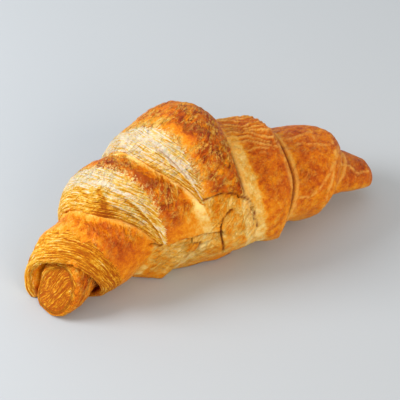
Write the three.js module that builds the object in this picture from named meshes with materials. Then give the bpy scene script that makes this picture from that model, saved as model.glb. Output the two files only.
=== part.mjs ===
// A butter croissant: one triangle of laminated dough, rolled from its base to its point and baked in
// one piece. It lies along X with its open, curled tip at -X, and both tips bend towards -Y.
import * as THREE from "three";

// Driving dimensions, in millimetres.
const LENGTH = 151;
const WIDTH = 69.5;
const HEIGHT = 59.5;

const AROUND = 48; // facets round a section
const GOLDEN_CRUST = 0xc9772c;

// The shape is drawn a section at a time, in millimetres of a croissant that runs from -82 to 69 along
// the roll. The last step stretches it to the driving dimensions.
const KNOB_MIDDLE = Array(8).fill(-75.5);
const POINTED_TIP = Array(8).fill(69);

// Where each wrap of the dough ends along the roll, at eight angles round the section:
// bottom, lower front, front, upper front, top, upper back, back, lower back.
const CURLED_TIP = [-79.5, -77.5, -73, -70.5, -70, -73, -76.5, -79.5];
const HOOD_FLOOR = [-60, -57, -58, -61, -64, -67, -71, -71];
const HOOD = [-66, -62, -64, -67.5, -71.5, -77, -81, -80];
const LEFT_WRAP = [-48, -43, -38, -44, -53, -55, -54.5, -51];
const CENTRE_LEFT = [-34, -26, -16, -20, -29.5, -31, -33.5, -34.5];
const CENTRE_RIGHT = [5, 3, 0, 1, 3, 3, 6, 7];
const RIGHT_WRAP = [20, 19, 21, 26, 27, 25, 26, 25];
const CAP = [40, 39, 43, 50, 54, 53, 50, 45];

// The centre line at eleven even stations: its bend to the side, and its height above the tray.
const SPAN = 76.5; // the stations run from -SPAN to SPAN
const BEND = [-10.5, -7.2, -3, -0.7, -0.5, -1.5, -3.5, -6, -8.8, -12.2, -16];
const RISE = [9.2, 14.4, 18.4, 21.6, 24.3, 24.5, 22, 18.8, 15.6, 11.4, 6];

// The last turn narrows to a tongue that ends on the front. Towards its end the centre wrap sinks to
// the level of its neighbours, and below it the dough of the turn before bulges out by a little.
const TONGUE_SINKS = [22, 75]; // degrees above the front: all the way in, and still at full height
const TONGUE_FOOT = [-70, -45];
const BULGE = 2.5;

// How much of each lip's step is left, at the same eight angles. The weight of the dough presses the
// steps flat where it lies on the tray.
const PRESSED = [0.3, 0.6, 1, 1, 1, 1, 1, 0.6];

// One ring of the skin: its place between two edges, its half width and its half height.
const between = (from, to, share, width, height) => ({ from, to, share, width, height });
const at = (edge, shift, width, height) => ({ from: edge, to: edge, shift, width, height });
const lip = (edge, shift, width, height) => ({ ...at(edge, shift, width, height), isLip: true });

const RINGS = [
  // The curled tip: the blunt start of the roll, a knob with a slanting end.
  at(KNOB_MIDDLE, 0, 0, 0),
  between(KNOB_MIDDLE, CURLED_TIP, 0.6, 5, 5),
  at(CURLED_TIP, 0.4, 8.5, 8.5),
  at(CURLED_TIP, 1.9, 9.6, 9.4),
  between(CURLED_TIP, HOOD_FLOOR, 0.5, 10.2, 9.8),
  // The hood, a wrap that opens over the knob: its inside, its lip and its shoulder.
  at(HOOD_FLOOR, 0, 9.6, 9),
  between(HOOD_FLOOR, HOOD, 0.25, 11.2, 9.8),
  between(HOOD_FLOOR, HOOD, 0.8, 12, 11),
  lip(HOOD, 0, 13.4, 12.8),
  lip(HOOD, 1.4, 15.6, 15),
  between(HOOD, LEFT_WRAP, 0.3, 17.8, 16.8),
  between(HOOD, LEFT_WRAP, 0.6, 19.2, 17.4),
  between(HOOD, LEFT_WRAP, 0.86, 19.2, 16.8),
  // The left wrap: the gap, the lip, the steep side that shows the layers, and the crown.
  lip(LEFT_WRAP, 0.3, 18.8, 15),
  lip(LEFT_WRAP, 1.1, 20.8, 17.4),
  lip(LEFT_WRAP, 2.4, 23.4, 20.6),
  between(LEFT_WRAP, CENTRE_LEFT, 0.38, 28, 26.8),
  between(LEFT_WRAP, CENTRE_LEFT, 0.62, 29.2, 27.4),
  between(LEFT_WRAP, CENTRE_LEFT, 0.86, 28.6, 25.4),
  // The centre wrap, the widest, with a lip at each side.
  lip(CENTRE_LEFT, 0.3, 26.8, 22),
  lip(CENTRE_LEFT, 1.1, 28.8, 24.2),
  lip(CENTRE_LEFT, 2.6, 31.2, 27.4),
  between(CENTRE_LEFT, CENTRE_RIGHT, 0.2, 33.8, 30.4),
  between(CENTRE_LEFT, CENTRE_RIGHT, 0.36, 35.8, 32.9),
  between(CENTRE_LEFT, CENTRE_RIGHT, 0.62, 37.4, 34.8),
  between(CENTRE_LEFT, CENTRE_RIGHT, 0.84, 36.4, 32.8),
  lip(CENTRE_RIGHT, -1.2, 34.4, 30),
  lip(CENTRE_RIGHT, -0.1, 33, 28.2),
  lip(CENTRE_RIGHT, 0.5, 30, 24.6),
  // The right wrap.
  between(CENTRE_RIGHT, RIGHT_WRAP, 0.34, 29, 21.2),
  between(CENTRE_RIGHT, RIGHT_WRAP, 0.66, 29.4, 22.2),
  between(CENTRE_RIGHT, RIGHT_WRAP, 0.87, 29, 22.8),
  lip(RIGHT_WRAP, -1, 28.2, 21.8),
  lip(RIGHT_WRAP, -0.1, 26.8, 20),
  lip(RIGHT_WRAP, 0.5, 24.2, 16.6),
  // The cap, the last wrap before the point.
  between(RIGHT_WRAP, CAP, 0.32, 23.8, 16.8),
  between(RIGHT_WRAP, CAP, 0.62, 23.2, 17.8),
  between(RIGHT_WRAP, CAP, 0.86, 21.6, 17.8),
  lip(CAP, -1, 20.2, 16.6),
  lip(CAP, -0.1, 18.2, 14.6),
  lip(CAP, 0.5, 14.2, 10),
  // The pointed tip.
  between(CAP, POINTED_TIP, 0.35, 11.8, 8.2),
  between(CAP, POINTED_TIP, 0.66, 9.4, 6.9),
  between(CAP, POINTED_TIP, 0.84, 7.4, 6),
  at(POINTED_TIP, -1.6, 5.2, 5),
  at(POINTED_TIP, -0.3, 2.8, 2.7),
  at(POINTED_TIP, 0, 0, 0),
];

const { clamp, lerp, smoothstep } = THREE.MathUtils;

// Uniform Catmull-Rom through four values, at x from 0 to 1 between the middle two.
function spline(a, b, c, d, x) {
  return b + 0.5 * x * (c - a + x * (2 * a - 5 * b + 4 * c - d + x * (3 * (b - c) + d - a)));
}

// A value given at eight angles, read at an angle in degrees: -90 is the bottom, 0 the front.
function around(values, angle) {
  const position = ((angle + 90) / 360) * values.length;
  const i = Math.floor(position);
  const value = (step) => values[(i + step + values.length) % values.length];
  return spline(value(-1), value(0), value(1), value(2), position - i);
}

// A value of the centre line, read at a place along the roll.
function station(values, place) {
  const last = values.length - 1;
  const position = clamp(((place + SPAN) / (2 * SPAN)) * last, 0, last);
  const i = Math.min(Math.floor(position), last - 1);
  const value = (step) => values[clamp(i + step, 0, last)];
  return spline(value(-1), value(0), value(1), value(2), position - i);
}

function placeOf(ring, angle) {
  const share = ring.share ?? 0;
  return lerp(around(ring.from, angle), around(ring.to, angle), share) + (ring.shift ?? 0);
}

// The half width and half height of a ring, pulled by a share towards the straight line between two
// other rings, and raised above that line.
function pulled(index, before, after, angle, pull, rise) {
  const ring = RINGS[index];
  const start = placeOf(RINGS[before], angle);
  const along = (placeOf(ring, angle) - start) / (placeOf(RINGS[after], angle) - start);
  const raised = rise * Math.sin(Math.PI * along);
  return {
    width: lerp(ring.width, lerp(RINGS[before].width, RINGS[after].width, along) + raised, pull),
    height: lerp(ring.height, lerp(RINGS[before].height, RINGS[after].height, along) + raised, pull),
  };
}

// The half width and half height of a ring at an angle.
function sizeOf(index, angle) {
  const sunk = 1 - smoothstep(angle, ...TONGUE_SINKS);
  const underTongue = sunk * smoothstep(angle, ...TONGUE_FOOT);
  const first = RINGS.findIndex((ring) => ring.from === CENTRE_LEFT) - 1;
  const last = RINGS.findLastIndex((ring) => ring.to === CENTRE_RIGHT) + 1;
  if (underTongue > 0 && index > first && index < last) {
    return pulled(index, first, last, angle, underTongue, BULGE);
  }
  if (!RINGS[index].isLip) {
    return RINGS[index];
  }
  let before = index;
  let after = index;
  while (RINGS[before].isLip) before--;
  while (RINGS[after].isLip) after++;
  return pulled(index, before, after, angle, 1 - clamp(around(PRESSED, angle), 0, 1), 0);
}

// The knob is round below and flattened above, and the hood bulges behind it. The lower front is
// flatter under the hood, the left wrap and the cap, and fuller under the end of the tongue.
function fullness(place, angle) {
  const bump = (x, middle, reach) => Math.exp(-(((x - middle) / reach) ** 2));
  const knobBelow = 0.2 * bump(place, -68, 8) * bump(angle, -42, 32);
  const knobAbove = 0.1 * bump(place, -72, 6) * bump(angle, 120, 60);
  const hood = 0.08 * bump(place, -70, 8) * bump(angle, 160, 35);
  const hoodFoot = 0.2 * bump(place, -80, 6) * bump(angle, 232, 22);
  const underHood = 0.14 * bump(place, -61, 7) * bump(angle, -40, 35);
  const underWraps = 0.13 * bump(place, -34, 20) + 0.07 * bump(place, 35, 10);
  const underTongue = 0.05 * bump(place, 6, 12) * bump(angle, -22, 30);
  const left = knobBelow - knobAbove + hood + hoodFoot - underHood;
  return 1 + left - underWraps * bump(angle, -25, 32) + underTongue;
}

// One point of the skin. The dough sags flat on the tray, so nothing is below it.
function skinPoint(index, angle) {
  const place = placeOf(RINGS[index], angle);
  const { width, height } = sizeOf(index, angle);
  const radians = THREE.MathUtils.degToRad(angle);
  const full = fullness(place, angle);
  const out = width * full * Math.cos(radians);
  const up = height * full * Math.sin(radians);
  const slope = (station(BEND, place + 1) - station(BEND, place - 1)) / 2;
  const along = new THREE.Vector2(1, slope).normalize();
  return new THREE.Vector3(
    place + out * along.y,
    station(BEND, place) - out * along.x,
    Math.max(0, station(RISE, place) + up),
  );
}

// A ball whose circles of latitude are moved on to the rings, from tip to tip.
function skin() {
  const geometry = new THREE.SphereGeometry(1, AROUND, RINGS.length - 1);
  const position = geometry.getAttribute("position");
  for (let i = 0; i < position.count; i++) {
    const ring = Math.floor(i / (AROUND + 1));
    const turn = (i % (AROUND + 1)) % AROUND;
    position.setXYZ(i, ...skinPoint(ring, (360 * turn) / AROUND - 90));
  }
  return geometry;
}

// Stretches the shape to its real size and puts the origin at the middle of its base.
function toRealSize(geometry) {
  geometry.computeBoundingBox();
  const { min } = geometry.boundingBox;
  const size = geometry.boundingBox.getSize(new THREE.Vector3());
  const centre = geometry.boundingBox.getCenter(new THREE.Vector3());
  geometry.translate(-centre.x, -centre.y, -min.z);
  geometry.scale(LENGTH / size.x, WIDTH / size.y, HEIGHT / size.z);
  geometry.computeVertexNormals();
  return geometry;
}

const crust = new THREE.MeshStandardMaterial({ color: GOLDEN_CRUST, roughness: 0.45, metalness: 0 });

const croissant = new THREE.Mesh(toRealSize(skin()), crust);
croissant.name = "croissant";

const object = new THREE.Group();
object.add(croissant);

export default object;
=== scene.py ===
# %% [markdown]
# # A butter croissant
#
# A croissant is one triangle of laminated dough: a few dozen sheets of dough with butter between them,
# rolled up from the base of the triangle to its point, brushed with egg and baked. The wraps of the
# roll swell in the oven and lap over each other. Where a wrap ends, the cut side of the dough shows
# its layers, pale and flaky, and the egg-washed skin between two ends browns and blisters.
#
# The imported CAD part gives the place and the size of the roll. This script models the baked dough
# itself, in metres and in the same frame.

# %% Load the frame
import math

import bpy
import numpy as np
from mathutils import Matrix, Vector, noise


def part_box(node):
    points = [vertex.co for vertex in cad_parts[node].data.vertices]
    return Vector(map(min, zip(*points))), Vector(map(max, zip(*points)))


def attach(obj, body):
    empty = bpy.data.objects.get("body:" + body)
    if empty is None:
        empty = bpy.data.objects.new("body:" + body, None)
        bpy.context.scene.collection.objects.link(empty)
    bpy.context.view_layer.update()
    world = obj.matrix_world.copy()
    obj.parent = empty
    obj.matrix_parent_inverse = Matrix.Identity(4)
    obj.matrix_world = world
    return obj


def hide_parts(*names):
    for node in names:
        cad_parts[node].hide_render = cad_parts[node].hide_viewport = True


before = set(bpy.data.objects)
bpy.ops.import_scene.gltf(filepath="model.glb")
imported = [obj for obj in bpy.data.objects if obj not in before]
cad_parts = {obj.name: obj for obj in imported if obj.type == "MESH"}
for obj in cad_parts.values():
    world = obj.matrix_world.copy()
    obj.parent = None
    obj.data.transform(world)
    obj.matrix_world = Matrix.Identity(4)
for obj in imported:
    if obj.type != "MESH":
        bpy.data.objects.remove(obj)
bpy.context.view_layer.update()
MM = 0.001
low_corner, high_corner = (np.array(corner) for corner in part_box("croissant"))
print("the roll's box, in mm:", (low_corner / MM).round(1), (high_corner / MM).round(1))

# %% [markdown]
# ## Camera
#
# A roll lying on a table is looked down on from its open end, through a long lens, so that the far tip
# isn't too small. The camera could be given a location and three turns. It is aimed at a point of the
# roll and set back from it instead, because an aim and a distance are easier to read and to change.


# %% Camera
def direction(azimuth, elevation):
    """A unit vector out of the scene. Azimuth 0 is the front, -Y, and elevation is above the table."""
    turn, rise = math.radians(azimuth), math.radians(elevation)
    flat = math.cos(rise)
    return Vector((math.sin(turn) * flat, -math.cos(turn) * flat, math.sin(rise)))


VIEW_DIRECTION = direction(-30, 42)
VIEW_DISTANCE = 0.6  # m
AIM = Vector((-2.3, -7.25, 22)) * MM
LENS = 137  # mm, on a sensor 36 mm wide

bpy.ops.object.camera_add(location=AIM + VIEW_DIRECTION * VIEW_DISTANCE)
camera = bpy.context.object
camera.name = "camera"
camera.rotation_euler = VIEW_DIRECTION.to_track_quat("Z", "Y").to_euler()
camera.data.lens = LENS
camera.data.sensor_width = 36
bpy.context.scene.camera = camera
print("the camera stands", round(camera.location.length, 2), "m from the origin")

# %% [markdown]
# ## The rolled shape
#
# A lump of dough that is rolled up could be sculpted, but it is easier to describe one cross-section at
# a time. Each ring of the skin has a place along the roll, a half width and a half height. The place
# isn't the same all round, because a wrap runs slantwise, so it is given at eight angles and rounded
# off between them.
#
# A lip is a row of rings that goes back under itself: out of the gap, round the lip, and up the cut
# side. Rings can do this, and a height map can't, which is why the skin is built from rings.

# %% Where the rings lie, in mm along the roll
# Eight angles: bottom, lower front, front, upper front, top, upper back, back, lower back.
KNOB_MIDDLE = [-75.5] * 8
CURLED_TIP = [-79.5, -77.5, -73, -70.5, -70, -73, -76.5, -79.5]
HOOD_FLOOR = [-60, -57, -58, -61, -64, -67, -71, -71]
HOOD = [-66, -62, -64, -67.5, -71.5, -77, -81, -80]
LEFT_WRAP = [-48, -43, -38, -44, -53, -55, -54.5, -51]
CENTRE_LEFT = [-34, -26, -16, -20, -29.5, -31, -33.5, -34.5]
CENTRE_RIGHT = [5, 3, 0, 1, 3, 3, 6, 7]
RIGHT_WRAP = [20, 19, 21, 26, 27, 25, 26, 25]
CAP = [40, 39, 43, 50, 54, 53, 50, 45]
POINTED_TIP = [69] * 8

# The centre line at eleven even stations: its bend to the side, and its height above the table.
SPAN = 76.5  # mm from the middle to either end
BEND = [-10.5, -7.2, -3, -0.7, -0.5, -1.5, -3.5, -6, -8.8, -12.2, -16]
RISE = [9.2, 14.4, 18.4, 21.6, 24.3, 24.5, 22, 18.8, 15.6, 11.4, 6]

# How much of a lip's step is left at the eight angles. The dough's weight presses it flat on the tray,
# and on the front the left and the centre wraps end in a sheet that lies flat, below some angle.
PRESSED = [0.3, 0.6, 1, 1, 1, 1, 1, 0.6]
FLAT_BELOW = {"left": 10, "centre_left": 34, "centre_right": 34}
FLAT_SOFTNESS = 4  # degrees on each side of that angle
FLAT_ENDS = (-75, -50)  # degrees over which the step comes back under the roll

# The tongue is the end of the last turn. Below it the front is one even face, which bulges a little.
# Going down the front, the face fades in over the first pair of angles and out over the second pair.
TONGUE_FADES_IN = (22, 75)
TONGUE_FADES_OUT = (-70, -45)
TONGUE_BULGE = 2.5  # mm
print("the centre line spans", 2 * SPAN, "mm before it is fitted to the box")

# %% [markdown]
# ## The rings
#
# The rings could all be written out, one after another. Five or six of them in a row make a lip, and
# most lips are made alike, so a small function writes the rings of a lip from its few sizes. A lip that
# faces the curled tip is read from its gap outwards, and one that faces the pointed tip from its
# shoulder inwards. The lip of the hood is deeper than the others, so its rings are written out.


# %% One ring, and the rings of a lip
def ring(name, start, end, share, shift, width, height, lip=None, over=0.0):
    """One ring. It lies at a share of the way from start to end, moved by a shift in mm, or by "over"
    where the step of its lip is pressed flat. Width and height are half sizes in mm."""
    return {
        "name": name, "start": start, "end": end, "share": share, "shift": shift,
        "width": width, "height": height, "lip": lip, "over": over,
    }


def left_lip(name, edge, gap, lip, side):
    """The rings of a lip that faces the curled tip: down into the gap, back under the lip, and out."""
    tucked = [0.6 * gap[i] + 0.4 * lip[i] for i in range(2)]
    return [
        ring(name + "_gap_edge", edge, edge, 0, 1.0, gap[0] + 0.8, gap[1] + 0.8, name, 0),
        ring(name + "_gap", edge, edge, 0, 3.0, gap[0], gap[1], name, 0.5),
        ring(name + "_under", edge, edge, 0, 1.8, tucked[0], tucked[1], name, 1.0),
        ring(name + "_lip", edge, edge, 0, 0.4, lip[0], lip[1], name, 1.5),
        ring(name + "_side", edge, edge, 0, 1.5, side[0], side[1], name, 2.2),
    ]


def right_lip(name, edge, shoulder, lip, gap):
    """The rings of a lip that faces the pointed tip: over the shoulder, round the lip, and under it."""
    tucked = [0.5 * (gap[i] + lip[i]) for i in range(2)]
    return [
        ring(name + "_shoulder", edge, edge, 0, -1.2, shoulder[0], shoulder[1], name, -2.2),
        ring(name + "_lip", edge, edge, 0, 0, lip[0], lip[1], name, -1.4),
        ring(name + "_under", edge, edge, 0, -1.0, tucked[0], tucked[1], name, -0.8),
        ring(name + "_gap", edge, edge, 0, -2.0, gap[0], gap[1], name, -0.2),
        ring(name + "_gap_edge", edge, edge, 0, 0, gap[0] - 0.6, gap[1] - 0.6, name, 0.4),
    ]


# %% All the rings, from the curled tip to the pointed one
RINGS = [
    ring("curled_pole", KNOB_MIDDLE, KNOB_MIDDLE, 0, 0, 0, 0),
    ring("knob_face", KNOB_MIDDLE, CURLED_TIP, 0.6, 0.15, 5.0, 5.0),
    ring("knob_rim", CURLED_TIP, CURLED_TIP, 0, 0.4, 8.5, 8.5),
    ring("knob_side", CURLED_TIP, CURLED_TIP, 0, 1.9, 9.6, 9.4),
    ring("knob", CURLED_TIP, HOOD_FLOOR, 0.5, 0, 10.2, 9.8),
    ring("hood_gap", HOOD_FLOOR, HOOD_FLOOR, 0, 0, 9.6, 9.0, "hood", -1.0),
    ring("hood_gap_top", HOOD_FLOOR, HOOD, 0.25, 0, 11.2, 9.8, "hood", -0.5),
    ring("hood_under", HOOD_FLOOR, HOOD, 0.8, 0, 12.0, 11.0, "hood", 0),
    ring("hood_lip", HOOD, HOOD, 0, 0, 13.4, 12.8, "hood", 0.5),
    ring("hood_side", HOOD, HOOD, 0, 1.4, 15.6, 15.0, "hood", 1.4),
    ring("hood_shoulder", HOOD, LEFT_WRAP, 0.30, 0, 17.8, 16.8),
    ring("hood_crown", HOOD, LEFT_WRAP, 0.60, 0, 19.2, 17.4),
    ring("hood_end", HOOD, LEFT_WRAP, 0.86, 0, 19.2, 16.8),
    *left_lip("left", LEFT_WRAP, (18.8, 14.8), (20.8, 17.2), (22.8, 19.8)),
    ring("left_shoulder", LEFT_WRAP, CENTRE_LEFT, 0.38, 0, 28.0, 26.8, "left", 0),
    ring("left_crown", LEFT_WRAP, CENTRE_LEFT, 0.62, 0, 29.2, 27.4),
    ring("left_end", LEFT_WRAP, CENTRE_LEFT, 0.86, 0, 28.6, 25.4),
    *left_lip("centre_left", CENTRE_LEFT, (26.6, 21.6), (29.0, 24.4), (31.2, 27.2)),
    ring("centre_shoulder", CENTRE_LEFT, CENTRE_RIGHT, 0.34, 0, 35.6, 32.6, "centre_left", 0),
    ring("centre_crown", CENTRE_LEFT, CENTRE_RIGHT, 0.62, 0, 37.4, 34.8),
    ring("centre_end", CENTRE_LEFT, CENTRE_RIGHT, 0.84, 0, 36.4, 32.8),
    *right_lip("centre_right", CENTRE_RIGHT, (34.4, 30.0), (33.0, 28.2), (29.6, 23.8)),
    ring("right_start", CENTRE_RIGHT, RIGHT_WRAP, 0.34, 0, 29.0, 21.2),
    ring("right_crown", CENTRE_RIGHT, RIGHT_WRAP, 0.66, 0, 29.4, 22.2),
    ring("right_end", CENTRE_RIGHT, RIGHT_WRAP, 0.87, 0, 29.0, 22.8),
    *right_lip("right", RIGHT_WRAP, (28.2, 21.8), (26.8, 20.0), (24.4, 16.8)),
    ring("cap_start", RIGHT_WRAP, CAP, 0.32, 0, 23.8, 16.8),
    ring("cap_crown", RIGHT_WRAP, CAP, 0.62, 0, 23.2, 17.8),
    ring("cap_end", RIGHT_WRAP, CAP, 0.86, 0, 21.6, 17.8),
    *right_lip("cap", CAP, (20.2, 16.6), (18.2, 14.6), (14.4, 10.2)),
    ring("tip_start", CAP, POINTED_TIP, 0.35, 0, 11.8, 8.2),
    ring("tip_middle", CAP, POINTED_TIP, 0.66, 0, 9.4, 6.9),
    ring("tip_end", CAP, POINTED_TIP, 0.84, 0, 7.4, 6.0),
    ring("tip_round", POINTED_TIP, POINTED_TIP, 0, -1.6, 5.2, 5.0),
    ring("tip_nose", POINTED_TIP, POINTED_TIP, 0, -0.3, 2.8, 2.7),
    ring("pointed_pole", POINTED_TIP, POINTED_TIP, 0, 0, 0, 0),
]
INDEX = {r["name"]: i for i, r in enumerate(RINGS)}
LIPS = list(dict.fromkeys(r["lip"] for r in RINGS if r["lip"]))
print(len(RINGS), "rings are drawn by hand, and they form", len(LIPS), "lips")

# %% [markdown]
# ## From listed values to a smooth skin
#
# A few listed values have to become a skin without corners. Straight lines between them would
# show as facets. A curve that passes through every value keeps them where they were put, and between
# rings it is one that never overshoots, because an overshoot would make a dent beside each lip.


# %% Curves through listed values
def smooth(x, low=0.0, high=1.0):
    """0 before low, 1 past high, and an S-curve between them. High may be the smaller of the two."""
    share = np.clip((x - low) / (high - low), 0, 1)
    return share * share * (3 - 2 * share)


def bump(x, middle, reach):
    """1 at the middle, falling off softly on both sides."""
    return np.exp(-(((x - middle) / reach) ** 2))


def mix(a, b, share):
    """a where the share is 0, b where it is 1, and in between an even mixture."""
    return a + (b - a) * share


def catmull_rom(a, b, c, d, x):
    """A curve from b to c that also heeds their two neighbours."""
    return b + 0.5 * x * (c - a + x * (2 * a - 5 * b + 4 * c - d + x * (3 * (b - c) + d - a)))


def around(values, angle):
    """A value given at eight angles, read at other angles, in degrees: -90 is the bottom, 0 the front."""
    values = np.asarray(values, float)
    count = len(values)
    position = (np.asarray(angle) + 90) / 360 * count
    i = np.floor(position).astype(int)
    near = [values[(i + step) % count] for step in (-1, 0, 1, 2)]
    return catmull_rom(*near, position - i)


def station(values, place):
    """A value of the centre line, read at a place along the roll."""
    values = np.asarray(values, float)
    last = len(values) - 1
    position = np.clip((np.asarray(place) + SPAN) / (2 * SPAN) * last, 0, last)
    i = np.minimum(np.floor(position).astype(int), last - 1)
    near = [values[np.clip(i + step, 0, last)] for step in (-1, 0, 1, 2)]
    return catmull_rom(*near, position - i)


# %% Places and sizes of the rings, all round
def ring_table(angle):
    """Place, half width and half height of each ring at each angle."""
    step = {lip: np.clip(around(PRESSED, angle), 0, 1) for lip in LIPS}
    for lip, below in FLAT_BELOW.items():
        stands = smooth(angle, below - FLAT_SOFTNESS, below + FLAT_SOFTNESS)
        step[lip] = step[lip] * mix(1, stands, smooth(angle, *FLAT_ENDS))
    place = []
    for r in RINGS:
        moved = mix(r["over"], r["shift"], smooth(step[r["lip"]], 0.3, 1)) if r["lip"] else r["shift"]
        place.append(mix(around(r["start"], angle), around(r["end"], angle), r["share"]) + moved)
    place = np.array(place)
    width = np.array([r["width"] + 0 * angle for r in RINGS])
    height = np.array([r["height"] + 0 * angle for r in RINGS])

    def pull(first, last, share, rise):
        """Pulls the rings between two others towards a straight line, or one that bulges by a rise."""
        for i in range(first + 1, last):
            along = np.clip((place[i] - place[first]) / (place[last] - place[first]), 0, 1)
            raised = rise * np.sin(math.pi * along)
            width[i] = mix(width[i], mix(width[first], width[last], along) + raised, share)
            height[i] = mix(height[i], mix(height[first], height[last], along) + raised, share)

    for lip in LIPS:
        rows = [i for i, r in enumerate(RINGS) if r["lip"] == lip]
        pull(rows[0] - 1, rows[-1] + 1, 1 - step[lip], 0)
    even_face = (1 - smooth(angle, *TONGUE_FADES_IN)) * smooth(angle, *TONGUE_FADES_OUT)
    pull(INDEX["left_end"], INDEX["right_start"], even_face, TONGUE_BULGE)
    return place, width, height


def between_rings(table, rows):
    """Reads a table of rings at fractional rows, on a curve that never overshoots a ring."""
    step = np.diff(table, axis=0)
    slope = np.zeros_like(table)
    same_way = step[:-1] * step[1:] > 0
    total = np.where(same_way, step[:-1] + step[1:], 1)
    slope[1:-1] = np.where(same_way, 2 * step[:-1] * step[1:] / total, 0)
    slope[0], slope[-1] = step[0], step[-1]
    i = np.minimum(np.floor(rows).astype(int), len(table) - 2)
    x = (rows - i)[:, None]
    return (
        table[i] * (1 + 2 * x) * (1 - x) ** 2 + slope[i] * x * (1 - x) ** 2
        + table[i + 1] * x * x * (3 - 2 * x) + slope[i + 1] * x * x * (x - 1)
    )


# %% Points of the skin
# Where a cross-section isn't an oval: the dough swells or is pinched at one place and one angle.
SWELLINGS = [
    # share of the radius, place and reach in mm, angle and reach in degrees
    (0.2, -68, 8, -42, 32),
    (-0.1, -72, 6, 120, 60),
    (0.08, -70, 8, 160, 35),
    (0.2, -80, 6, 232, 22),
    (-0.14, -61, 7, -40, 35),
    (-0.13, -34, 20, -25, 32),
    (-0.07, 35, 10, -25, 32),
    (0.05, 6, 12, -22, 30),
]


def skin_points(place, width, height, angle):
    """Points of the skin, in millimetres of the drawn roll. Nothing hangs below the table."""
    full = 1
    for amount, at_place, reach, at_angle, spread in SWELLINGS:
        full = full + amount * bump(place, at_place, reach) * bump(angle, at_angle, spread)
    radians = np.radians(angle)
    out = width * full * np.cos(radians)
    slope = (station(BEND, place + 1) - station(BEND, place - 1)) / 2
    length = np.hypot(1, slope)
    x = place + out * slope / length
    y = station(BEND, place) - out / length
    z = station(RISE, place) + height * full * np.sin(radians)
    return np.stack([x, y, np.maximum(z, 0)], axis=-1)


print("the widest ring is", max(2 * r["width"] for r in RINGS), "mm across before it is fitted")

# %% [markdown]
# ## The grid of the skin
#
# The real crust has detail down to the thickness of one baked layer, about a millimetre. So the grid
# is shared out unevenly: the rows are closest on the cut sides, and the columns are closest where the
# skin is free, and wide apart on the underside. A subdivision modifier would add as many faces where
# nothing is to be seen as where the layers are.

# %% Share out the grid
COLUMNS = 236
ROWS = 418
UNDERSIDE = (235, 305)  # degrees
UNDERSIDE_COLUMNS = 18

free = np.linspace(UNDERSIDE[1] - 360, UNDERSIDE[0], COLUMNS - UNDERSIDE_COLUMNS + 1)
under = np.linspace(*UNDERSIDE, UNDERSIDE_COLUMNS + 1)[1:-1]
angle = np.sort(np.concatenate([free, np.where(under >= 270, under - 360, under)]))

# How many times closer than elsewhere the rows are after each kind of ring, and on the knob's face.
CLOSER = {"side": 2.6, "lip": 2.2, "under": 1.6, "gap": 1.4}
CLOSER_ON_KNOB = 2.0


def closeness(i):
    """How many times closer than elsewhere the rows are between ring i and the next."""
    name = RINGS[i]["name"]
    if name in ("curled_pole", "knob_face", "knob_rim"):
        return CLOSER_ON_KNOB
    return CLOSER.get(name.split("_")[-1], 1.0) if RINGS[i]["lip"] else 1.0


# The rows are shared out by their lengths on the upper half, which the tray doesn't press.
drawn = ring_table(angle)
drawn_points = skin_points(*drawn, angle)
upper = (angle > 0) & (angle < 180)
reach = np.linalg.norm(np.diff(drawn_points, axis=0), axis=2)[:, upper].mean(axis=1)
share = np.cumsum(reach * [closeness(i) for i in range(len(reach))])
share = np.concatenate([[0], share / share[-1]])
rows = np.interp(np.linspace(0, 1, ROWS), share, np.arange(len(RINGS)))
place, width, height = (between_rings(table, rows) for table in drawn)
skin = skin_points(place, width, height, angle)
drawn_size = np.ptp(drawn_points.reshape(-1, 3), axis=0)
print("drawn size", drawn_size.round(2))
print(ROWS, "rows by", COLUMNS, "columns; the rows are", reach.sum().round(), "mm long in all")

# %% [markdown]
# ## Measuring the skin
#
# Every detail below is placed by a distance in millimetres along the skin, as a baker would measure
# with a tape. The whole grid is measured once: the way out of the dough at each point, how far it is
# from the curled tip along the skin, and how far round. Soft noise is measured in millimetres too.


# %% Measures on the grid
def normals_of(points):
    """Unit normals of the grid, pointing out of the dough."""
    down = np.gradient(points, axis=0)
    round_it = (np.roll(points, -1, axis=1) - np.roll(points, 1, axis=1)) / 2
    cross = np.cross(down, round_it)
    length = np.linalg.norm(cross, axis=2, keepdims=True)
    normal = cross / np.maximum(length, 1e-9)
    normal[0], normal[-1] = (-1, 0, 0), (1, 0, 0)
    return normal


def row_of(name):
    """The fractional row of the fine grid that lies on a drawn ring."""
    return np.interp(INDEX[name], rows, np.arange(ROWS))


def at_row(table, row):
    """A row of a table on the fine grid, at a fractional row."""
    low = int(row)
    return mix(table[low], table[min(low + 1, ROWS - 1)], row - low)


row_length = np.linalg.norm(np.diff(skin, axis=0), axis=2)
run = np.concatenate([np.zeros((1, COLUMNS)), np.cumsum(row_length, axis=0)])  # mm from the curled tip
turn = np.broadcast_to(angle, place.shape)  # degrees
round_mm = np.radians(turn) * (width + height) / 2  # mm round the roll, from the front
mm_per_degree = np.radians(1) * (width + height) / 2
normal = normals_of(skin)
print("the longest run from tip to tip:", run[-1].max().round(1), "mm")


# %% Soft noise on the skin
# A seed moves the noise on to a part of it that no other detail uses.
def wander(size, seed, octaves=3):
    """Soft noise from about -1 to 1 on the skin, with lumps of a given size in millimetres."""
    points = (skin / size + seed * 17.3).reshape(-1, 3)
    values = [noise.fractal(p, 1.0, 2.0, octaves) for p in points]
    return np.array(values).reshape(place.shape)


def on_skin(along_size, round_size, seed):
    """Soft noise whose lumps have one length along the roll and another round it, in millimetres."""
    points = np.stack([place / along_size, round_mm / round_size, np.full(place.shape, seed * 9.1)], -1)
    values = [noise.fractal(p, 1.0, 2.0, 3) for p in points.reshape(-1, 3)]
    return np.array(values).reshape(place.shape)


wavy = 0.5 * wander(3, 31) + 0.25 * wander(1.5, 32)  # mm that a drawn line strays by
print("a hand-drawn line strays by up to", np.abs(wavy).max().round(2), "mm")


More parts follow.
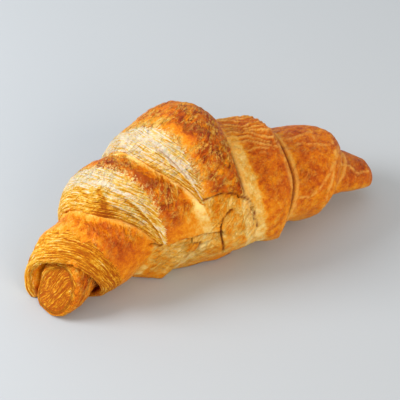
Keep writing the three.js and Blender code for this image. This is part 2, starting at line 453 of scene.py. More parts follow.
# %% Places on the skin
def past(name):
    """How far each point is past a drawn ring, in millimetres along the skin."""
    return run - at_row(run, row_of(name))


def from_angle(low, high, soft):
    """1 between two angles and 0 outside them, with soft ends, in degrees."""
    return smooth(turn, low - soft, low + soft) * (1 - smooth(turn, high - soft, high + soft))


def band(low, high, soft):
    """1 between two places along the roll and 0 outside them, with soft ends, in mm."""
    return smooth(place, low - soft, low + soft) * (1 - smooth(place, high - soft, high + soft))


def line_distance(points):
    """Millimetres from each point of the skin to a line, given as (place, angle) points."""
    nearest = np.full(place.shape, 1e9)
    for (x0, a0), (x1, a1) in zip(points, points[1:]):
        dx, dy = x1 - x0, (a1 - a0) * mm_per_degree
        px, py = place - x0, (turn - a0) * mm_per_degree
        share = np.clip((px * dx + py * dy) / np.maximum(dx * dx + dy * dy, 1e-9), 0, 1)
        nearest = np.minimum(nearest, np.hypot(px - share * dx, py - share * dy))
    return nearest


# %% [markdown]
# ## Where the cut sides are
#
# At each left-facing lip the knife's cut through the layers faces up and out. It is pale, because the
# egg wash misses it, and it stands like a step between the gap and the browned crown. Its upper border
# is ragged, because the thin glazed sheet on top flakes off there. It could be painted on by hand; a
# distance from its border is worked out instead, because the layers follow that border too.

# %% Cut sides
# The place of the upper border at the eight angles, for each lip, and the angles that the side spans.
CUT_SIDES = {
    "hood": ([-58, -57, -57.5, -60.5, -62.5, -66, -72, -72], (-70, 250)),
    "left": ([-40, -37, -36, -37.5, -40.5, -45.5, -46, -44], (14, 225)),
    "centre_left": ([-28, -22, -15.5, -17, -19.5, -26, -29, -31], (36, 215)),
}

border = np.full(place.shape, -9.0)  # mm inside the cut side; below 0 it is crust
across = run.copy()  # mm from the lip, along the skin
height_share = np.full(place.shape, 0.5)  # 0 at the lip and 1 at the upper border
side_start = {}
for name, (edge_places, (low, high)) in CUT_SIDES.items():
    lip_row = row_of(name + "_lip")
    start = at_row(run, lip_row)
    border_run = np.array([
        np.interp(edge, place[int(lip_row) + 1:, j], run[int(lip_row) + 1:, j])
        for j, edge in enumerate(around(edge_places, angle))
    ])
    wide = np.maximum(border_run - start, 0.3)
    beyond = np.minimum(turn - low, high - turn) * mm_per_degree
    lip_side = run - start + mix(0.6, 2.8, from_angle(80, 215, 12))
    inside = np.minimum(np.minimum(lip_side, start + wide - run), beyond)
    border = np.maximum(border, inside)
    across = np.where(run > start - 2, run - start, across)
    height_share = np.where(run > start - 2, np.clip((run - start) / wide, 0, 1), height_share)
    side_start[name] = (start, wide)
    print(name, "cut side:", wide.min().round(1), "to", wide.max().round(1), "mm wide")

# The face of the knob is cut too. On the hood, egg wash has run over the upper part of the cut side.
knob_face = (past("knob_side") < 1) & (place < 0)
border = np.where(knob_face, 0.5 - past("knob_rim"), border)
run_over = smooth(on_skin(7, 3.5, 4), 0.05, 0.4) * (1 - smooth(place, -54, -50)) * from_angle(60, 140, 10)
border = np.where(knob_face, border, border - 4 * run_over)
teeth = 1.6 * on_skin(9, 1.1, 1) + on_skin(4, 3, 2)
cut = smooth(border + teeth, -0.3, 0.6)
crust = 1 - cut
print("the cut sides cover", (100 * cut.mean()).round(1), "% of the grid")

# %% [markdown]
# ## Layers of the cut sides
#
# Each detail from here on is a height in millimetres that the skin is raised or sunk by. The layers are
# ledges that run along the lip. A stack of separate sheets would need millions of faces; a saw-tooth
# across the cut side gives the same ledges. Its lines wander, merge and split, as sheets of dough do
# once butter has puffed them, and a few wide gaps between bundles of layers are listed one by one.

# %% Layers on the cut sides
LAYER = 1.0  # mm between two ledges, baked
LEDGE = 0.7  # share of a layer that rises to the ledge; the rest drops into the gap
LAYER_DEPTHS = (0.06, 0.36)  # mm, where the layers lie closed and where they have opened

drift = 0.7 * wander(20, 5) + 0.2 * wander(5, 6)
upright = skin[..., 1] + 0.35 * skin[..., 2] + 1.1 * wander(6, 57) + 0.8 * drift
face_layers = mix(upright, across, smooth(past("knob_rim"), -1.6, -0.4))
layer_flow = np.where(knob_face, face_layers, across + drift)
phase = layer_flow / LAYER
saw = phase - np.floor(phase)
ledge = np.where(saw < LEDGE, saw / LEDGE, (1 - saw) / (1 - LEDGE))
open_layers = smooth(0.5 + 0.9 * wander(7, 7, octaves=2))
layers = cut * (ledge - 0.5) * mix(*LAYER_DEPTHS, open_layers) * np.where(knob_face, 0.9, 1)
# Painted shade in the narrow gap under each ledge, where the layers have opened.
layer_gap_shade = cut * smooth(0.3 - saw, 0, 0.3) * smooth(saw, 0, 0.06) * open_layers
print("layers stand", np.ptp(layers).round(2), "mm out of the cut sides")

# %% Wide gaps between bundles of layers
GAPS = [
    # lip, share of the cut side, half width and depth in mm, from and to angle
    ("centre_left", 0.52, 0.3, 0.6, 40, 88),
    ("centre_left", 0.74, 0.2, 0.3, 40, 75),
    ("centre_left", 0.28, 0.25, 0.4, 38, 80),
    ("left", 0.25, 0.6, 1.2, 38, 92),
    ("left", 0.56, 0.3, 0.6, 18, 80),
    ("left", 0.78, 0.2, 0.3, 22, 70),
    ("hood", 0.30, 0.3, 0.5, 40, 100),
    ("hood", 0.62, 0.4, 0.6, 60, 110),
]
# "gap" holds painted shade: it darkens gaps between layers, wide gaps, cracks and the shadows of lips.
gap = 0.4 * layer_gap_shade
sunk = np.zeros(place.shape)
for lip, share, half_width, depth, low, high in GAPS:
    start, wide = side_start[lip]
    off = run - start - wide * share - 0.8 * drift
    line = bump(off, 0, half_width) * from_angle(low, high, 8)
    # Painted shade darkens each wide gap, broken up by noise.
    gap = np.maximum(gap, 0.7 * line * smooth(0.6 + wander(3, 41), 0.1, 0.6))
    sunk = np.maximum(sunk, line * depth)
print("the deepest gap is", sunk.max().round(2), "mm deep")

# %% [markdown]
# ## Cracks, seams and wrinkles
#
# Where a sheet of dough ends, it leaves a crack and a small drop below it. Where the glaze is stretched
# it shows pale seams, and on top of the right wrap it has shrunk into wrinkles. Noise alone would put
# them anywhere, so the large ones are drawn as lines of (place, angle) points, and noise only makes
# them waver and break off.

# %% Cracks where sheets of dough end
TONGUE_END = [(-17, 38), (-13, 38), (-8, 38), (-3, 36), (3, 33), (5, 27), (5.6, 17), (6, 0), (6, -30)]
LEFT_END = [(-41, 15), (-36, 9), (-30.5, 9), (-24, 8), (-17, 4), (-11.5, 4)]
CRACKS = [
    # points, half width and depth in mm
    (TONGUE_END[:5], 0.45, 1.4),
    (TONGUE_END[4:8], 0.3, 0.7),
    (LEFT_END, 0.5, 1.4),
    ([(-5, 24), (-7.5, 22), (-10.4, 18), (-12.2, 10), (-11.8, -3), (-10, -20), (-9, -32)], 0.35, 1.0),
    ([(6, -25), (2, -29), (-1, -30)], 0.45, 0.9),
    ([(-26, 8), (-25, 1), (-20, -6), (-21, -16)], 0.35, 0.6),
]
for points, half_width, depth in CRACKS:
    line = bump(line_distance(points) + 0.7 * wavy, 0, half_width)
    # Painted shade darkens each crack, broken up by noise.
    gap = np.maximum(gap, line * smooth(0.6 + 0.7 * wander(4, 42), -0.6, 0.6))
    sunk = np.maximum(sunk, line * depth)


def below(points, drop, reach):
    """How far the skin drops below the end of a sheet, in mm, fading over a reach in mm."""
    ends = sorted(points)
    edge = np.interp(place, [p[0] for p in ends], [p[1] for p in ends])
    down = (edge - turn) * mm_per_degree + wavy
    inside = smooth(place, ends[0][0] - 0.5, ends[0][0] + 2)
    inside *= 1 - smooth(place, ends[-1][0] - 1, ends[-1][0] + 0.5)
    return drop * inside * smooth(down, 0, 0.8) * (1 - smooth(down, 1, reach))


sheet_drop = below(TONGUE_END, 1.5, 16) + below(LEFT_END, 1.2, 10)
print("the skin drops by", sheet_drop.max().round(2), "mm below the ends of the sheets")

# %% Pale seams of the crust
SEAMS = [
    # points, half width in mm, strength
    ([(26, 78), (25, 60), (25, 40), (25.5, 5), (25, -20)], 0.8, 0.8),
    ([(25, 32), (27.5, 22), (33, 20), (38, 30), (44.5, 48), (47.5, 63)], 0.5, 0.8),
    ([(50.5, 93), (50, 80), (48.5, 63), (43.5, 34), (40.5, 18), (39, -5)], 0.5, 0.9),
    ([(52, 80), (50, 68), (47.5, 57), (44, 40)], 0.4, 0.6),
    ([(52.5, 68), (57, 66), (60, 50), (66, 56)], 0.6, 0.9),
    ([(29, 97), (36, 98), (44, 106), (44, 92)], 0.4, 0.6),
    ([(27, 81), (36, 88), (45, 82), (48.5, 80)], 0.4, 0.6),
]
seam = np.zeros(place.shape)
seam_wave = 0.7 * wavy + 0.6 * wander(6, 34)
for points, half_width, strength in SEAMS:
    line = bump(line_distance(points) + seam_wave, 0, half_width) * strength
    seam = np.maximum(seam, line * smooth(0.8 + wander(2.2, 33), 0.2, 1.0))
print("seams cover", (100 * (seam > 0.5).mean()).round(1), "% of the grid")


# %% Lumps, blisters and wrinkles
def cells(size, seed, stretch, warp):
    """Distance from the nearest border of a net of cells, in about millimetres: 0 on the borders."""
    points = skin / (size * np.array(stretch)) + seed * 11.7
    points = points + warp * wander(size * 1.5, seed + 3)[..., None]
    nearest = np.array([noise.voronoi(p)[0][:2] for p in points.reshape(-1, 3)])
    return ((nearest[:, 1] - nearest[:, 0]) * size / 2).reshape(place.shape)


lumps = 0.5 * wander(16, 11, octaves=2) + 0.28 * wander(5, 12)  # mm
fine = 0.08 * wander(1.3, 16, octaves=2)  # mm

# Blisters are raised cells where the glaze has crackled: on the crowns on the left, and on the knob.
BLISTER = 3.4  # mm across
crackled = band(-62, 2, 2) * from_angle(35, 180, 15) * smooth(0.7 + wander(10, 14), 0, 0.6)
crackled *= mix(0.3, 1, smooth(place, -52, -47))
knob_skin = smooth(past("knob_rim"), 0.5, 1.5) * smooth(-past("hood_gap"), 0, 2)
crackled = np.maximum(crackled, 0.7 * knob_skin)
blister_net = np.clip(cells(BLISTER, 13, (1.5, 0.9, 1), 0.5), 0, 0.8)
blisters = (blister_net - 0.4) * 0.5 * crackled

# Wrinkles run along the roll, on top of the right wrap.
WRINKLE = 2.8  # mm from one wrinkle to the next
right_top = smooth(place, 4, 8) * from_angle(72, 150, 6) * (1 - smooth(place, 25, 27))
wrinkle_wave = np.sin(2 * math.pi * (round_mm + 3.2 * wander(11, 15) + 0.12 * place) / WRINKLE)
wrinkle = right_top * smooth(wrinkle_wave + 0.8 * wander(4, 17), 0.35, 0.9)
seam = np.maximum(seam, 0.8 * wrinkle)
print("lumps", np.ptp(lumps).round(2), "mm, blisters", np.ptp(blisters).round(2), "mm")

# %% Painted shadows and pale lines beside the lips
# The shadow that a lip casts into its gap is painted as a dark line. The thin edge of dough beside it
# stays pale.
for name, low, high in (("left", 16, 72), ("centre_left", 38, 62)):
    shadowed = bump(past(name + "_gap") + 0.5 * wavy, 0.1, 0.7) * from_angle(low, high, 7)
    gap = np.maximum(gap, 0.85 * shadowed * smooth(0.7 + wander(3, 43), 0, 0.6))
under_strip = bump(past("left_gap") + 0.5 * wavy, -1.7, 1.1) * from_angle(18, 130, 8)
hollow_lip = bump(past("hood_lip") + 0.4 * wavy, -0.8, 1.5) * from_angle(125, 250, 15)
seam = np.maximum(seam, np.maximum(0.75 * under_strip, 0.8 * hollow_lip))
# Beside the lips that face the pointed tip, the shadow is painted as a dark line too. It is weaker beside
# the cap.
for name in ("centre_right", "right", "cap"):
    beside = past(name + "_gap_edge")
    shadowed = bump(beside + 0.3 * wavy, 1.4, 0.6) * (0.25 if name == "cap" else 1)
    gap = np.maximum(gap, shadowed * from_angle(FLAT_BELOW.get(name, -40), 150, 8))
    seam = np.maximum(seam, 0.8 * bump(beside + 0.6 * wavy, 3.0, 0.7))
print("gaps cover", (100 * (gap > 0.5).mean()).round(1), "% of the grid")

# %% [markdown]
# ## Moving the skin
#
# A displacement modifier could move the skin, but it would need an image or a texture of its own. All
# the heights are at hand, one for each point of the grid, so they are added up and each point is moved
# out along its normal. Towards the two tips, where the rows shrink to a point, the heights are evened
# out, because a different height at each column would leave a spike there.

# %% Move the skin
END_ROWS = 14  # rows over which the heights even out towards the two tips
GROOVE_FILL = 1.7  # mm by which dough fills the bottom of a groove, on top and at the back

height_map = lumps + layers - sunk - sheet_drop
height_map += mix(-0.5, 0.35, smooth(border, -9, 1))  # the dough rises towards a cut side
height_map += crust * (blisters + 0.28 * wrinkle + 0.3 * seam + fine)
for name in ("left", "centre_left"):
    groove = bump(past(name + "_gap") + 1, 0, 2.2) * from_angle(70, 200, 12)
    height_map += GROOVE_FILL * groove
from_end = np.minimum(np.arange(ROWS), ROWS - 1 - np.arange(ROWS))
end_height = np.where(place[:, :1] < 0, height_map[END_ROWS].mean(), height_map[-END_ROWS].mean())
height_map = mix(end_height, height_map, smooth(from_end, 0, END_ROWS)[:, None])
skin = skin + normal * height_map[..., None]
skin[..., 2] = np.maximum(skin[..., 2], 0)
print("the skin moves by", height_map.min().round(2), "to", height_map.max().round(2), "mm")

# %% [markdown]
# ## Browning
#
# An oven browns what stands out. The crowns of the wraps go deep orange-brown, with darker patches.
# The rim of a wrap that runs in under the next one stays golden, and so does the dough in the lee of a
# lip, and the front that the tongue doesn't cover. Painting this by hand would have to be done again
# after each change of shape, so it is worked out from the same distances as the shape is.


# %% What stays pale
def lee(name, wide):
    """1 beside a right-facing lip, on the side that it shelters, fading over a width in mm."""
    away = past(name + "_gap_edge")
    return smooth(away, -2, 0) * (1 - smooth(away + 1.5 * wavy, wide - 2.5, wide + 1.5))


def rim(name, wide):
    """1 where a wrap runs in under a left-facing lip, fading over a width in mm."""
    away = -past(name + "_gap")
    return smooth(away, -0.5, 0.3) * (1 - smooth(away + 0.8 * wavy, wide * 0.4, wide))


under_tongue = -below(TONGUE_END, -1, 60) * from_angle(-80, 60, 4)
under_left = -below(LEFT_END, -1, 60) * from_angle(-80, 40, 4)
bare_front = np.maximum(under_tongue, under_left)

centre_lee = smooth(past("centre_right_gap_edge"), -2, 0) * (1 - smooth(place + 1.5 * wavy, 9, 11.5))
pale = 0.4 * centre_lee * from_angle(-60, 92, 12)
for paler in (
    0.24 * rim("left", 5),
    0.36 * rim("centre_left", 7),
    0.14 * lee("right", 4),
    0.1 * lee("cap", 4),
    0.2 * bare_front,
    0.16 * bump(place + 22, -1, 8) * from_angle(-5, 38, 6),
):
    pale = np.maximum(pale, paler)
print("the palest parts are", pale.max().round(2), "paler than their surroundings")

# %% What browns
# The crowns of the hood, the left wrap, the centre wrap and the cap.
CROWNS = [
    # how much browner, place and reach in mm, mm that it shifts per degree, angles and their softness
    (0.24, -57, 4.5, 0.06, 25, 88, 12),
    (0.27, -36, 5, 0.1, 30, 125, 15),
    (0.14, -9, 6, 0, 30, 100, 15),
    (0.08, 38, 8, 0, 20, 120, 15),
]
BURNT = [
    # from and to, as (place, angle), half width in mm, strength
    ([(-36.5, 80), (-34, 68)], 2.6, 1),
    ([(-12, 86), (-7, 80)], 2.8, 1),
    ([(-60, 74), (-56, 52)], 2.4, 0.35),
]
top = smooth(np.sin(np.radians(turn)), -0.3, 0.9)
brown_and_shade = 0.49 + 0.12 * top + 0.10 * wander(12, 21) + 0.06 * wander(3.5, 22)
for amount, middle, reach, shift, low, high, soft in CROWNS:
    crown = bump(place + shift * (turn - 60), middle, reach)
    brown_and_shade += amount * crown * from_angle(low, high, soft)
brown_and_shade += 0.10 * band(12, 24, 2) * from_angle(30, 130, 10)  # the right wrap
brown_and_shade += 0.12 * smooth(place, 50, 56) * from_angle(10, 140, 15)  # the pointed tip
brown_and_shade += 0.08 * band(-3, 1, 1) * from_angle(30, 120, 10)  # the edge of the centre wrap
brown_and_shade += 0.08 * knob_skin
# Painted shade: the hollow under the hood's lip is darkened.
brown_and_shade += 0.16 * smooth(past("knob"), 0, 2) * smooth(-past("hood_lip"), 0, 1)  # the hollow of the hood
brown_and_shade -= pale
brown_and_shade -= 0.2 * smooth(border, -9, -1) * crust * from_angle(35, 200, 10)  # beside the cut sides
burnt = 0
for points, half_width, strength in BURNT:
    burnt = burnt + strength * bump(line_distance(points) + wavy, 0, half_width)
print("browning from", brown_and_shade.min().round(2), "to", brown_and_shade.max().round(2))

# %% [markdown]
# ## Gold, cream and torn glaze
#
# The cut layers aren't one colour. The first layers above a lip have dried golden, those in the middle
# are still cream, and a thin golden line often runs between two bundles. Beside the cut side the glaze
# has torn and flaked, except on the rims that the next wrap shelters. Noise in the material can't know
# where a lip is, so these zones are given to it as values on the skin.

# %% Gold and cream zones of the cut sides
# Pairs: share of the way from the lip to the upper border, and how golden the layers are there. At 2
# they are golden, at 1 pale gold, at 0 cream, and below 0 nearly white.
LEFT_ZONES = [
    (0, 1.9), (0.1, 1.5), (0.2, 0.7), (0.45, 0.8), (0.5, 1.7), (0.55, 1.5), (0.62, -0.9), (0.7, 0.3),
    (1, 0.8),
]
CENTRE_ZONES = [
    (0, 1.8), (0.12, 1.4), (0.2, 0.7), (0.36, 0.9), (0.42, 1.8), (0.5, -0.8), (0.65, -0.8), (0.75, 0.4),
    (1, 0.9),
]
zone = height_share + 0.05 * wander(9, 52)
# Painted light: towards the back, where the cut sides face the window, the zones fade to cream.
zone_strength_in_light = mix(0.2, 1, smooth(turn, 105, 80))
on_hood = 1 - smooth(place, -52, -48)
gold_and_light = mix(0.8 * smooth(turn, 115, 45), 1.4 + 0.9 * smooth(turn, 140, 60), on_hood)
left_gold = np.interp(zone, *zip(*LEFT_ZONES)) * zone_strength_in_light
gold_and_light += np.where(past("left_lip") > -2, left_gold, 0.7)
centre_gold = np.interp(zone, *zip(*CENTRE_ZONES)) * zone_strength_in_light + smooth(turn, 75, 40)
gold_and_light = np.where(past("centre_left_lip") > -2, centre_gold, gold_and_light)

# High on the left cut side a few golden spots show where the upper sheet has come off.
golden_spots = bump(line_distance([(-48.8, 97), (-50.2, 87)]) + 2 * wavy, 0, 0.8)
gold_and_light += 1.5 * golden_spots

# The face of the knob is golden, and cream along the upper part of its rim: a painted highlight.
rim_highlight = smooth(np.sin(np.radians(turn - 20)) + 0.5 * wander(4, 53), -0.2, 0.6)
rim_highlight = rim_highlight * bump(past("knob_rim") + 1.2 * wavy, -0.2, 0.8)
gold_and_light = np.where(knob_face, 3.4 + 0.8 * wander(3, 54) - 0.8 * rim_highlight, gold_and_light)
print("the layers' gold runs from", gold_and_light.min().round(2), "to", gold_and_light.max().round(2))

# %% Where the glaze is torn, and where it flakes
torn = from_angle(40, 220, 10) * smooth(past("hood_lip"), -1, 0) * mix(0.5, 1, smooth(place, -54, -50))
for name in ("left", "centre_left"):
    before_lip = smooth(-past(name + "_lip"), -0.5, 0.5)
    torn *= 1 - smooth(past(name + "_gap"), -9, -7) * before_lip
    crackled *= 1 - smooth(past(name + "_gap"), -5.5, -3) * before_lip
crackled = np.maximum(crackled, 0.55 * bare_front + 0.25 * smooth(place, 3, 6))
print("glaze is torn on", (100 * (torn > 0.5).mean()).round(1), "% of the grid")

# %% [markdown]
# ## The skin as a mesh
#
# The skin starts as a ball with as many rings and segments as the grid. Its circles of latitude are
# moved on to the rows, so the two poles and the seam are closed from the start. Extruding the rings one
# by one would give the same faces, and leave two holes to fill. The roll is then fitted to the box of
# the CAD node, and what was worked out on the grid goes with each point as a named value.

# %% Skin mesh
bpy.ops.object.select_all(action="DESELECT")
bpy.ops.mesh.primitive_uv_sphere_add(segments=COLUMNS, ring_count=ROWS - 1, radius=1)
croissant = bpy.context.object
croissant.name = "baked_croissant"
mesh = croissant.data

ball = np.empty(len(mesh.vertices) * 3)
mesh.vertices.foreach_get("co", ball)
ball = ball.reshape(-1, 3)
row = np.rint(np.arccos(np.clip(ball[:, 2], -1, 1)) / math.pi * (ROWS - 1)).astype(int)
column = np.rint(np.arctan2(ball[:, 1], ball[:, 0]) / (2 * math.pi) * COLUMNS).astype(int) % COLUMNS

drawn_middle = (drawn_points.reshape(-1, 3).min(axis=0) + drawn_points.reshape(-1, 3).max(axis=0)) / 2
drawn_middle[2] = 0
stretch = (high_corner - low_corner) / drawn_size
points = (skin[row, column] - drawn_middle) * stretch
mesh.vertices.foreach_set("co", points.ravel())
mesh.update()
bpy.ops.object.shade_smooth()
print("the croissant has", len(mesh.polygons), "faces")

# %% Values that the material reads
# "gap" is painted shade in gaps, cracks and under lips.
shown = {
    "brown_and_shade": brown_and_shade, "border": border, "gap": gap, "seam": seam, "crackled": crackled, "gold_and_light": gold_and_light,
    "burnt": burnt, "torn": torn,
}
for name, values in shown.items():
    layer = mesh.attributes.new(name, "FLOAT", "POINT")
    layer.data.foreach_set("value", values[row, column].astype(np.float32))

# "flow" is across the layers and along them, and "slant" is at 45 degrees to the roll, both in mm.
along_layers = np.where(knob_face, skin[..., 2], round_mm)
directions = {
    "flow": np.stack([layer_flow, along_layers, 0 * place], axis=-1),
    "slant": np.stack([place + round_mm, round_mm - place, 0 * place], axis=-1) * math.sqrt(0.5),
}
for name, values in directions.items():
    layer = mesh.attributes.new(name, "FLOAT_VECTOR", "POINT")
    layer.data.foreach_set("vector", values[row, column].astype(np.float32).ravel())
print("the skin carries", len(shown) + len(directions), "values for the material")

# %% [markdown]
# ## Egg-washed crust over laminated crumb
#
# Dough that was brushed with beaten egg bakes to a thin, hard glaze, from straw yellow through orange
# to brown. It is brittle, so it peels and flakes over the soft dough under it. The cut sides were never
# brushed: their sheets of dough stay dry, pale and matt. Two materials with a hard border between them
# would lose the ragged edge, so one material holds both and is told by "border" which one to show.

# %% Colours as the eye sees them, and one node
def linear(hex_colour):
    """An sRGB hex colour as the linear values that Blender mixes."""
    values = [int(hex_colour[i:i + 2], 16) / 255 for i in (1, 3, 5)]
    return (*(v / 12.92 if v <= 0.04045 else ((v + 0.055) / 1.055) ** 2.4 for v in values), 1)


crust_finish = bpy.data.materials.new("egg-washed crust over laminated crumb")
crust_finish.use_nodes = True
tree = crust_finish.node_tree
surface = tree.nodes["Principled BSDF"]


def node(kind, inputs, output=0, **settings):
    """Adds a node with its settings. An input that is another node's output is linked, and any other
    input is set. Inputs are in order, or named in a dict. Returns one of the new node's outputs."""
    made = tree.nodes.new("ShaderNode" + kind)
    for name, value in settings.items():
        setattr(made, name, value)
    for socket, value in inputs.items() if isinstance(inputs, dict) else enumerate(inputs):
        if isinstance(value, bpy.types.NodeSocket):
            tree.links.new(value, made.inputs[socket])
        else:
            made.inputs[socket].default_value = value
    return made.outputs[output]


# %% Values and directions
# Object coordinates are in metres. A factor below 1 makes grains that are longer in that direction.
value_of = {name: node("Attribute", [], "Fac", attribute_name=name) for name in shown}
slant, flow = (node("Attribute", [], "Vector", attribute_name=name) for name in ("slant", "flow"))
in_mm, sliver_way, sheet_way, crumb_way, ragged_way = (
    node("VectorMath", [vector, factors], operation="MULTIPLY")
    for vector, factors in (
        (node("TexCoord", [], "Object"), (1 / MM, 1 / MM, 1 / MM)),
        (slant, (0.4, 1, 1)),
        (flow, (1, 0.07, 1)),
        (flow, (1, 0.5, 1)),
        (flow, (0.3, 1, 1)),
    )
)
print("the material reads", len(value_of), "values and two directions")

# %% Grains of the crust and the crumb
# The real sizes: glaze comes loose in patches a fingertip wide, its flakes are 2 to 4 mm across, and
# the blotches of browning about 3 mm. Two things are too fine to show and are drawn coarser: the grain
# of the glaze, about 0.3 mm, and a single baked sheet of crumb, 0.2 to 0.3 mm thick.
GRAINS = {
    # direction, size in mm, detail, roughness, distortion
    "flaky patch": (in_mm, 9.0, 2.0, 0.6, 0.0),
    "wide peel": (sliver_way, 4.2, 4.0, 0.55, 0.9),
    "small peel": (sliver_way, 1.9, 4.0, 0.55, 0.7),
    "broken edge": (in_mm, 2.2, 2.0, 0.6, 0.0),
    "fine": (in_mm, 0.9, 4.0, 0.7, 0.0),
    "browned patch": (in_mm, 3.0, 4.0, 0.6, 0.0),
    "sliver": (sliver_way, 0.9, 4.0, 0.75, 0.8),
    "sheet": (sheet_way, 0.55, 3.0, 0.65, 0.3),
    "crumb": (crumb_way, 0.75, 4.0, 0.8, 0.0),
    "ragged border": (ragged_way, 0.9, 3.0, 0.7, 0.0),
}
grain = {
    name: node("TexNoise", {
        "Vector": vector, "Scale": 1 / size,
        "Detail": detail, "Roughness": roughness, "Distortion": distortion,
    })
    for name, (vector, size, detail, roughness, distortion) in GRAINS.items()
}
grain_sizes = [size for _, size, *_ in GRAINS.values()]
print(len(grain), "grains, from", min(grain_sizes), "to", max(grain_sizes), "mm")

# %% Peeled glaze
# The glaze is baked to a brittle sheet that peels. Beside the edge of a peel the sheet under it shows,
# a little darker, and the edge itself is thin and lifted, and painted pale: partly its own colour and
# partly a painted highlight.
in_patch = node("MapRange", [grain["flaky patch"], 0.28, 0.46], interpolation_type="SMOOTHSTEP")
flaky = node("Math", [in_patch, value_of["crackled"]], operation="MULTIPLY")
peels = []
for name, edge in (("wide peel", 0.032), ("small peel", 0.04)):
    over_edge = node("MapRange", [grain[name], 0.43, 0.57], interpolation_type="SMOOTHSTEP")
    from_edge = node("Math", [grain[name], 0.5], operation="SUBTRACT")
    from_edge = node("Math", [from_edge], operation="ABSOLUTE")
    peels.append((
        node("Math", [over_edge, 0.5], operation="SUBTRACT"),
        node("MapRange", [from_edge, edge, edge * 0.4], interpolation_type="SMOOTHSTEP"),
    ))
(wide_peel, wide_edge), (small_peel, small_edge) = peels
broken = node("MapRange", [grain["broken edge"], 0.43, 0.57], interpolation_type="SMOOTHSTEP")
edges = node("Math", [wide_edge, small_edge], operation="MAXIMUM")
broken_flakes = node("Math", [flaky, broken], operation="MULTIPLY")
lifted = node("Math", [edges, broken_flakes], operation="MULTIPLY")
both_peels = node("Math", [small_peel, 0.8, wide_peel], operation="MULTIPLY_ADD")
peeled = node("Math", [both_peels, flaky], operation="MULTIPLY")
print("with the peeled glaze, the material has", len(tree.nodes), "nodes")

# %% Browned, scorched and torn glaze
# Browning is blotched by the grains: their shares are added, and their mean is taken off again.
browning_and_shade = node("Math", [grain["browned patch"], 0.75, value_of["brown_and_shade"]], operation="MULTIPLY_ADD")
browning_and_shade = node("Math", [grain["fine"], 0.55, browning_and_shade], operation="MULTIPLY_ADD")
browning_and_shade = node("Math", [browning_and_shade, 0.66], operation="SUBTRACT")
browning_and_shade = node("Math", [peeled, 0.24, browning_and_shade], operation="MULTIPLY_ADD")

scorched = node("Math", [grain["browned patch"], 1.2, value_of["burnt"]], operation="MULTIPLY_ADD")
scorched = node("MapRange", [scorched, 0.95, 1.2], interpolation_type="SMOOTHSTEP")

# Beside a cut side the glaze has torn off in slivers that point away from the lip.
beside = node("MapRange", [value_of["border"], -6, -0.5], interpolation_type="SMOOTHSTEP")
beside = node("Math", [beside, value_of["torn"]], operation="MULTIPLY")
sliver = node("Math", [beside, 0.2, grain["sliver"]], operation="MULTIPLY_ADD")
sliver = node("MapRange", [sliver, 0.68, 0.74], interpolation_type="SMOOTHSTEP")
pale_sliver = node("Math", [sliver, beside], operation="MULTIPLY")
print("with the browning, the material has", len(tree.nodes), "nodes")

# %% Sheets of crumb
# Thin sheets seen edge on, cream where they are fresh and golden where they dried. Their border with
# the glaze is ragged.
sheet_tone = node("Math", [value_of["gold_and_light"], -0.11, grain["sheet"]], operation="MULTIPLY_ADD")
sheet_tone = node("Math", [grain["crumb"], 0.7, sheet_tone], operation="MULTIPLY_ADD")
sheet_tone = node("Math", [sheet_tone, 0.31], operation="SUBTRACT")
is_cut = node("Math", [grain["ragged border"], 5.0, value_of["border"]], operation="MULTIPLY_ADD")
is_cut = node("MapRange", [is_cut, 2.3, 2.6], interpolation_type="SMOOTHSTEP")
print("with the crumb, the material has", len(tree.nodes), "nodes")

# %% Colours
# Straw yellow is hardly baked, orange is well baked, and the last two are dark caramel.
CRUST_TONES = [
    (0.05, "#F4D688"), (0.26, "#E8B24A"), (0.44, "#E49008"), (0.6, "#D27200"), (0.78, "#B65000"),
    (1.0, "#7E2B00"),
]
CRUMB_TONES = [
    (0.14, "#AC5400"), (0.27, "#DA8E0C"), (0.37, "#EEBA38"), (0.46, "#F4D684"), (0.56, "#F6E9D2"),
]
baked = []
for tone, stops in ((browning_and_shade, CRUST_TONES), (sheet_tone, CRUMB_TONES)):
    colour = node("ValToRGB", [tone])
    elements = colour.node.color_ramp.elements
    for i, (position, hex_colour) in enumerate(stops):
        stop = elements[i] if i < 2 else elements.new(position)
        stop.position = position
        stop.color = linear(hex_colour)
    baked.append(colour)
crust_colour, crumb_colour = baked

# What lies over the browned glaze, from the bottom up.
AMOUNT, COLOUR, COVER, RESULT = 0, 6, 7, 2  # sockets of a Mix node: three inputs and an output
over_glaze = (
    ("#EDB254", value_of["seam"]),
    # Pale lifted edges of flakes: partly their own colour and partly a painted highlight.
    ("#F8BE54", node("Math", [lifted, 0.85], operation="MULTIPLY")),
    ("#94380A", node("Math", [scorched, 0.65], operation="MULTIPLY")),
    ("#F2CC80", pale_sliver),
)
for hex_colour, amount in over_glaze:
    covered = {AMOUNT: amount, COLOUR: crust_colour, COVER: linear(hex_colour)}
    crust_colour = node("Mix", covered, RESULT, data_type="RGBA")

# Painted shade in gaps, cracks and under lips: dark brown in the crust, and golden between sheets of
# crumb.
on_cut = {AMOUNT: is_cut, COLOUR: crust_colour, COVER: crumb_colour}
skin_colour = node("Mix", on_cut, RESULT, data_type="RGBA")
in_gap_shade = {AMOUNT: is_cut, COLOUR: linear("#7A3004"), COVER: linear("#C27A10")}
gap_shade_colour = node("Mix", in_gap_shade, RESULT, data_type="RGBA")
with_gap_shade = {AMOUNT: value_of["gap"], COLOUR: skin_colour, COVER: gap_shade_colour}
skin_colour = node("Mix", with_gap_shade, RESULT, data_type="RGBA")
tree.links.new(skin_colour, surface.inputs["Base Color"])
print("the crust has", len(CRUST_TONES), "tones and the crumb", len(CRUMB_TONES))

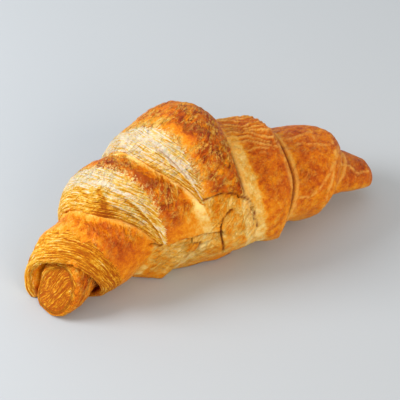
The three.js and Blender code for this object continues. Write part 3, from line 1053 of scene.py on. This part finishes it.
# %% Relief that is finer than the mesh, and gloss
# Heights are in millimetres.
torn_sheets = node("Math", [grain["sheet"], grain["crumb"]], operation="ADD")
torn_sheets = node("Math", [torn_sheets, 1.0], operation="SUBTRACT")
torn_sheets = node("Math", [torn_sheets, is_cut], operation="MULTIPLY")
relief = node("Math", [grain["fine"], 0.5], operation="MULTIPLY")
for part, amount in ((peeled, 1.1), (lifted, 0.3), (pale_sliver, 0.15), (torn_sheets, 0.6)):
    relief = node("Math", [part, amount, relief], operation="MULTIPLY_ADD")
small_relief = node("Bump", {"Height": relief, "Strength": 1.0, "Distance": 1 * MM})
tree.links.new(small_relief, surface.inputs["Normal"])

# Glaze has a soft shine, and dry crumb has hardly any. Light goes a little way into dough and comes out
# redder. Baked starch and egg are close to Blender's own index of 1.5, but their surface is broken and
# porous, so the specular level is low.
roughness = node("Math", [is_cut, 0.3, 0.45], operation="MULTIPLY_ADD")
tree.links.new(roughness, surface.inputs["Roughness"])
surface.inputs["Specular IOR Level"].default_value = 0.15
surface.inputs["Subsurface Weight"].default_value = 0.15
surface.inputs["Subsurface Radius"].default_value = (1.0, 0.45, 0.12)
surface.inputs["Subsurface Scale"].default_value = 1.5 * MM
croissant.data.materials.append(crust_finish)
print("the crust's material has", len(tree.nodes), "nodes")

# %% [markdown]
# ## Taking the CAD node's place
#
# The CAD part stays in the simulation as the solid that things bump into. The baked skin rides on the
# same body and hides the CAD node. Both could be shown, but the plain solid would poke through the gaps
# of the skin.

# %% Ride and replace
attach(croissant, "root")
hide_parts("croissant")
print(croissant.name, "stands for the CAD node and has the material", crust_finish.name)

# %% [markdown]
# ## Table and light
#
# A matt white tabletop is pressed laminate with a fine texture: it shows a soft shadow and hardly any
# reflection. The light is a window behind the croissant on the left, low enough to rake over the
# layers. A large, weak reflector at the front and a bright room keep the shadows open. One strong lamp
# would be simpler, but it would make hard black shadows in every gap.

# %% Table
TABLE_SIZE = 6  # m, so that its edge is far away
TABLE_DROP = 0.0002  # m, so that the flat underside and the table don't lie in one plane

bpy.ops.object.select_all(action="DESELECT")
bpy.ops.mesh.primitive_plane_add(size=TABLE_SIZE, location=(0, 0, -TABLE_DROP))
table_top = bpy.context.object
table_top.name = "table_top"

# Pressed laminate is white with a touch of blue, and its fine texture spreads every reflection.
matt_white = bpy.data.materials.new("matt white laminate")
matt_white.use_nodes = True
table_surface = matt_white.node_tree.nodes["Principled BSDF"]
table_surface.inputs["Base Color"].default_value = linear("#B6C1CE")
table_surface.inputs["Roughness"].default_value = 0.6
table_surface.inputs["Specular IOR Level"].default_value = 0.2
table_top.data.materials.append(matt_white)
print("the table is", TABLE_SIZE, "m wide")

# %% Light
LAMPS = {
    # azimuth and elevation in degrees, distance and diameter in m, power in W, colour
    "window light": (-118, 33, 0.65, 0.36, 4.2, "#FFF8F0"),
    "front reflector": (5, 26, 1.2, 0.9, 8.0, "#FFE0BE"),
}
LIT_POINT = Vector((0, 0, 20)) * MM

for name, (azimuth, elevation, distance, diameter, power, hex_colour) in LAMPS.items():
    out = direction(azimuth, elevation)
    bpy.ops.object.light_add(type="AREA", location=LIT_POINT + out * distance)
    lamp = bpy.context.object
    lamp.name = name
    lamp.rotation_euler = out.to_track_quat("Z", "Y").to_euler()
    lamp.data.shape = "DISK"
    lamp.data.size = diameter
    lamp.data.energy = power
    lamp.data.color = linear(hex_colour)[:3]
    print(name, "gives", power, "W from", distance, "m")

world = bpy.context.scene.world or bpy.data.worlds.new("room")
bpy.context.scene.world = world
world.use_nodes = True
room = world.node_tree.nodes["Background"]
room.inputs["Color"].default_value = linear("#F2EEE6")
room.inputs["Strength"].default_value = 0.76
bpy.context.scene.view_settings.view_transform = "Standard"
